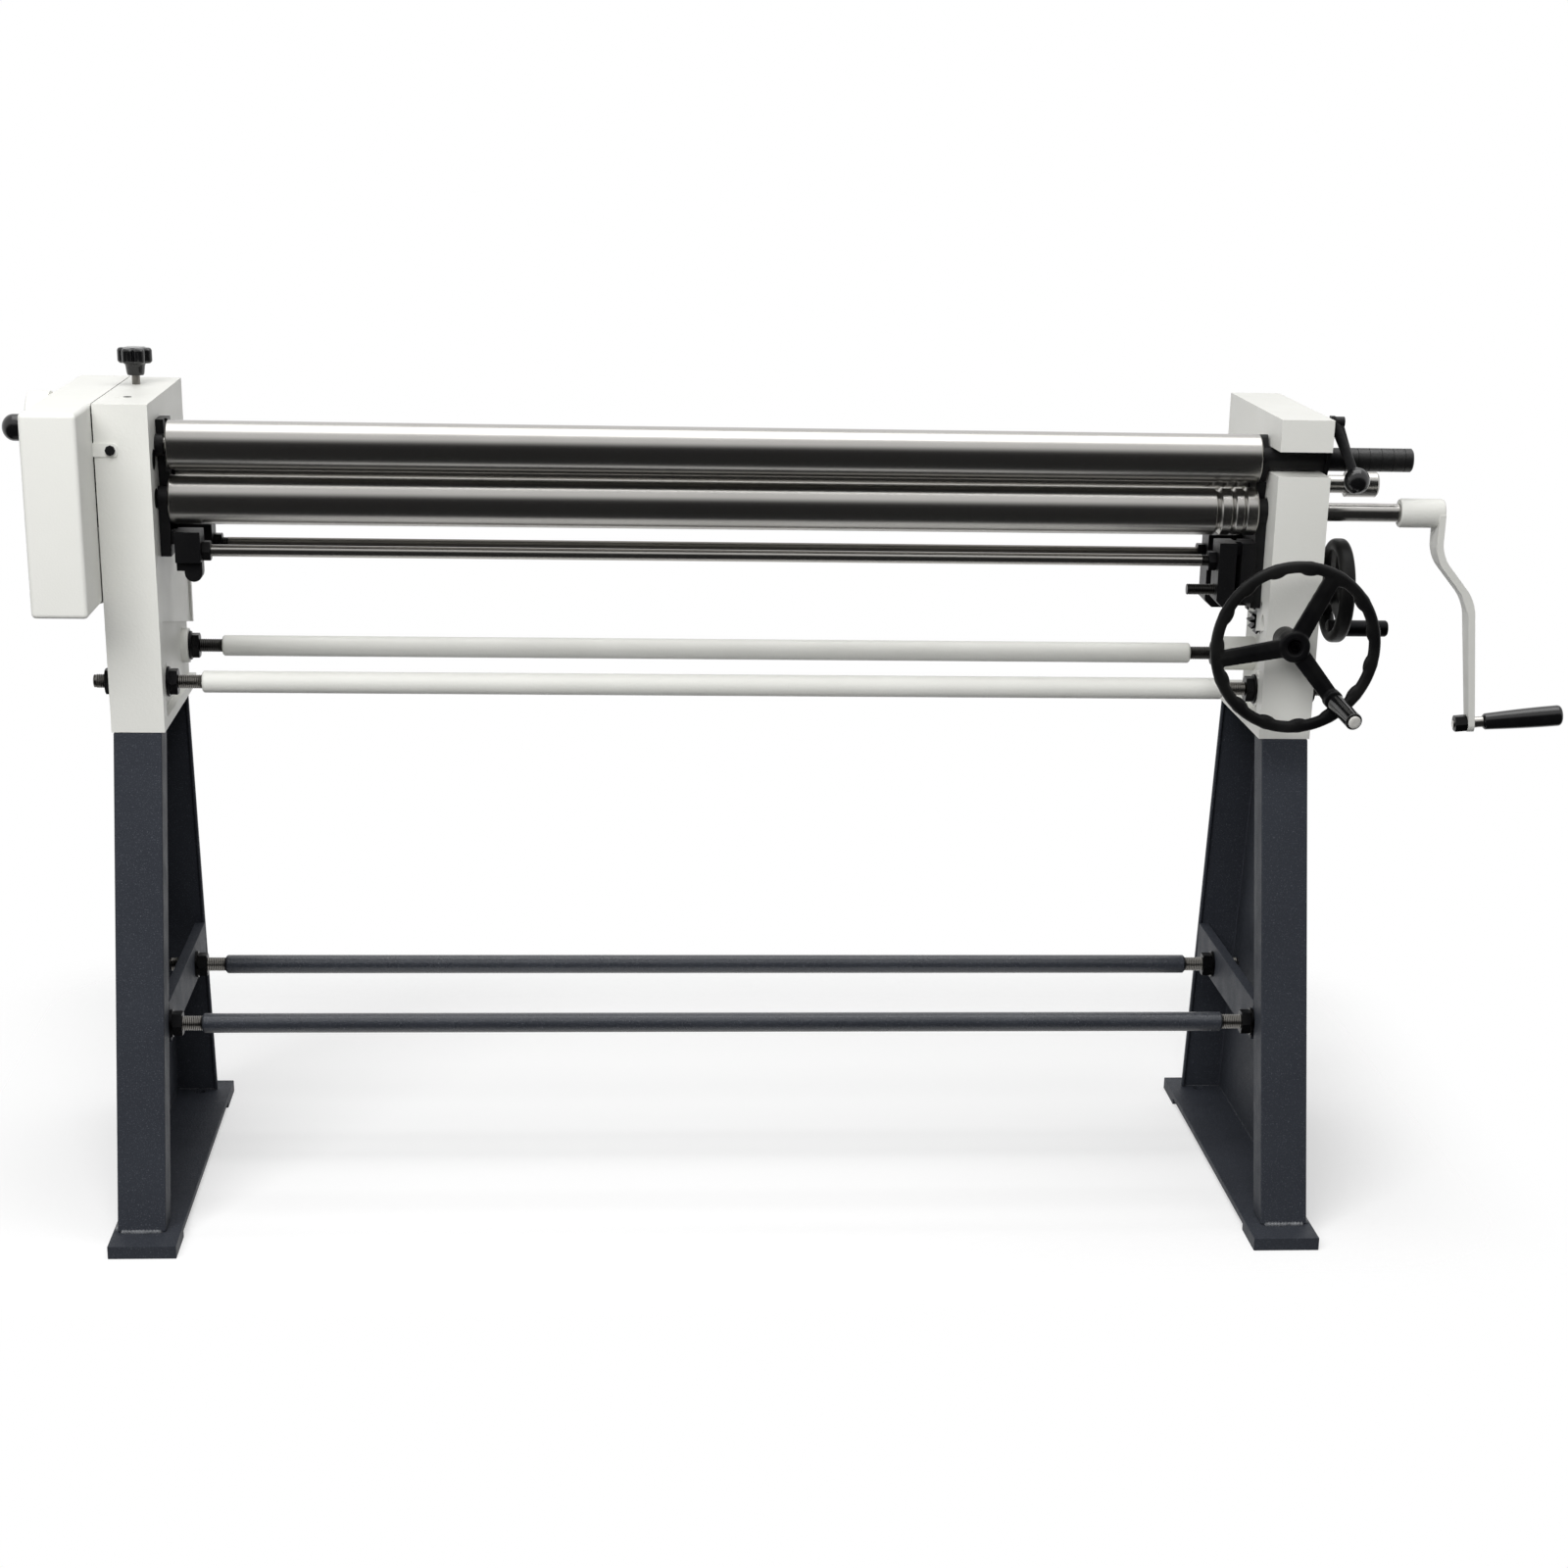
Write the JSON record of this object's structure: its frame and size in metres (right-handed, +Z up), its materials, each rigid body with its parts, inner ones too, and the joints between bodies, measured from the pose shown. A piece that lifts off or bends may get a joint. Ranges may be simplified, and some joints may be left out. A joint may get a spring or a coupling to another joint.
{
  "type": "slip roll",
  "caption": "Hand-cranked slip roll on a floor stand, with a swing-out top roll, wedge-lifted lower and rear rolls, handwheels and a gear cover.",
  "frame": {"origin": "on the floor under the middle of the whole machine's extent", "axes": "+X along the rolls towards the crank, +Y away from the operator, +Z up"},
  "size_m": [1.9098, 0.597, 1.011],
  "materials": {
    "cast_white": "semi-gloss warm white paint with a fine texture",
    "sheet_white": "semi-gloss warm white paint on folded sheet",
    "cast_black": "semi-gloss black paint or black oxide on castings",
    "plastic_black": "black phenolic",
    "dark_steel": "blackened steel",
    "plain_steel": "turned bright steel",
    "roll_steel": "ground steel with fine turning lines",
    "stand_paint": "dark blue-grey hammered paint"
  },
  "bodies": {
    "frame": {"left_head": "cast_white", "left_bearing_plate": "cast_black", "left_stand_side": "stand_paint", "left_foot": "stand_paint", "left_brace": "stand_paint", "left_front_inner_nut": "dark_steel", "left_front_outer_nut": "dark_steel", "left_back_inner_nut": "dark_steel", "left_back_outer_nut": "dark_steel", "right_head": "cast_white", "right_bearing_plate": "cast_black", "right_stand_side": "stand_paint", "right_foot": "stand_paint", "right_brace": "stand_paint", "right_front_inner_nut": "dark_steel", "right_front_outer_nut": "dark_steel", "right_back_inner_nut": "dark_steel", "right_back_outer_nut": "dark_steel", "front_tie_rod": "cast_white", "back_tie_rod": "cast_white", "front_stand_rod": "stand_paint", "back_stand_rod": "stand_paint", "gear_cover": "sheet_white", "strap_screw": "cast_black"},
    "front_lift": {"left_lower_bearing": "cast_black", "right_lower_bearing": "cast_black"},
    "rear_lift": {"left_rear_bearing": "cast_black", "right_rear_bearing": "cast_black"},
    "front_wedge": {"left_front_carriage": "cast_black", "right_front_carriage": "cast_black", "front_sync_bar": "plain_steel"},
    "rear_wedge": {"left_rear_carriage": "cast_black", "right_rear_carriage": "cast_black", "rear_sync_bar": "plain_steel"},
    "drive_roll": {"lower_roll": "roll_steel", "lower_gear": "dark_steel", "crank_arm": "cast_white", "crank_spindle": "plain_steel", "crank_nut": "dark_steel"},
    "crank_handle": {"crank_grip": "plastic_black"},
    "form_roll": {"rear_roll": "roll_steel"},
    "swing": {"swivel_bush": "dark_steel", "right_bearing": "cast_black", "roll_grip": "plastic_black"},
    "upper_roll": {"top_roll": "roll_steel", "top_gear": "dark_steel"},
    "lock": {"lock_lever": "cast_black", "lock_ball": "plastic_black"},
    "front_wheel": {"front_handwheel": "cast_black", "front_wheel_shaft": "plain_steel", "drive_pinion": "dark_steel", "front_grip_screw": "plain_steel"},
    "front_wheel_handle": {"front_wheel_grip": "plastic_black"},
    "side_wheel": {"side_handwheel": "cast_black", "adjusting_screw": "dark_steel", "side_handle_pin": "plain_steel"},
    "side_handle": {"side_wheel_handle": "dark_steel"},
    "star_screw": {"star_knob": "plastic_black"},
    "cover_screw": {"cover_knob": "plastic_black"}
  },
  "joints": [
    {"name": "front_lift_slide", "type": "slide", "parent": "frame", "child": "front_lift", "axis": [0, 0, 1], "range_m": [-0.002, 0.0055]},
    {"name": "front_wedge_slide", "type": "slide", "parent": "frame", "child": "front_wedge", "axis": [1, 0, 0], "range_m": [-0.002, 0.0055]},
    {"name": "side_wheel_turn", "type": "hinge", "parent": "frame", "child": "side_wheel", "pos_m": [0.65423, -0.0095, 0.757], "axis": [1, 0, 0], "range_deg": [-240, 660]},
    {"name": "side_handle_spin", "type": "hinge", "parent": "side_wheel", "child": "side_handle", "pos_m": [0.65423, -0.0095, 0.7105], "axis": [1, 0, 0], "continuous": true},
    {"name": "rear_lift_slide", "type": "slide", "parent": "frame", "child": "rear_lift", "axis": [0, 0, 1], "range_m": [-0.018, 0.01]},
    {"name": "rear_wedge_slide", "type": "slide", "parent": "frame", "child": "rear_wedge", "axis": [1, 0, 0], "range_m": [-0.018, 0.01]},
    {"name": "front_wheel_turn", "type": "hinge", "parent": "frame", "child": "front_wheel", "pos_m": [0.58073, -0.1255, 0.708], "axis": [0, 1, 0], "range_deg": [-64.46, 35.81]},
    {"name": "front_handle_spin", "type": "hinge", "parent": "front_wheel", "child": "front_wheel_handle", "pos_m": [0.63045, -0.1255, 0.6466], "axis": [0.1469, -0.9724, -0.1814], "continuous": true},
    {"name": "lower_roll_spin", "type": "hinge", "parent": "front_lift", "child": "drive_roll", "pos_m": [-0.10427, -0.0095, 0.852], "axis": [1, 0, 0], "continuous": true},
    {"name": "crank_handle_spin", "type": "hinge", "parent": "drive_roll", "child": "crank_handle", "pos_m": [0.91226, -0.0095, 0.59988], "axis": [0.9962, 0, 0.0872], "continuous": true},
    {"name": "rear_roll_spin", "type": "hinge", "parent": "rear_lift", "child": "form_roll", "pos_m": [-0.10427, 0.0565, 0.877], "axis": [1, 0, 0], "continuous": true},
    {"name": "top_roll_swing", "type": "hinge", "parent": "frame", "child": "swing", "pos_m": [-0.81057, -0.0095, 0.915], "axis": [0, 0, -1], "range_deg": [0, 5]},
    {"name": "top_roll_spin", "type": "hinge", "parent": "swing", "child": "upper_roll", "pos_m": [-0.10427, -0.0095, 0.915], "axis": [1, 0, 0], "continuous": true},
    {"name": "lock_lever_turn", "type": "hinge", "parent": "swing", "child": "lock", "pos_m": [0.6577, -0.0335, 0.962], "axis": [-1, 0, 0], "range_deg": [0, 90]},
    {"name": "star_knob_turn", "type": "hinge", "parent": "frame", "child": "star_screw", "pos_m": [-0.81057, 0.1505, 0.98], "axis": [0, 0, 1], "continuous": true},
    {"name": "cover_knob_turn", "type": "hinge", "parent": "frame", "child": "cover_screw", "pos_m": [-0.93427, 0.0455, 0.926], "axis": [1, 0, 0], "continuous": true}
  ],
  "couplings": [
    {"joint": "front_wedge_slide", "follows": "front_lift_slide", "ratio": 1},
    {"joint": "side_wheel_turn", "follows": "front_lift_slide", "rad_per_m": 2094.4},
    {"joint": "rear_wedge_slide", "follows": "rear_lift_slide", "ratio": 1},
    {"joint": "front_wheel_turn", "follows": "rear_lift_slide", "rad_per_m": 62.5},
    {"joint": "top_roll_spin", "follows": "lower_roll_spin", "ratio": -1}
  ]
}
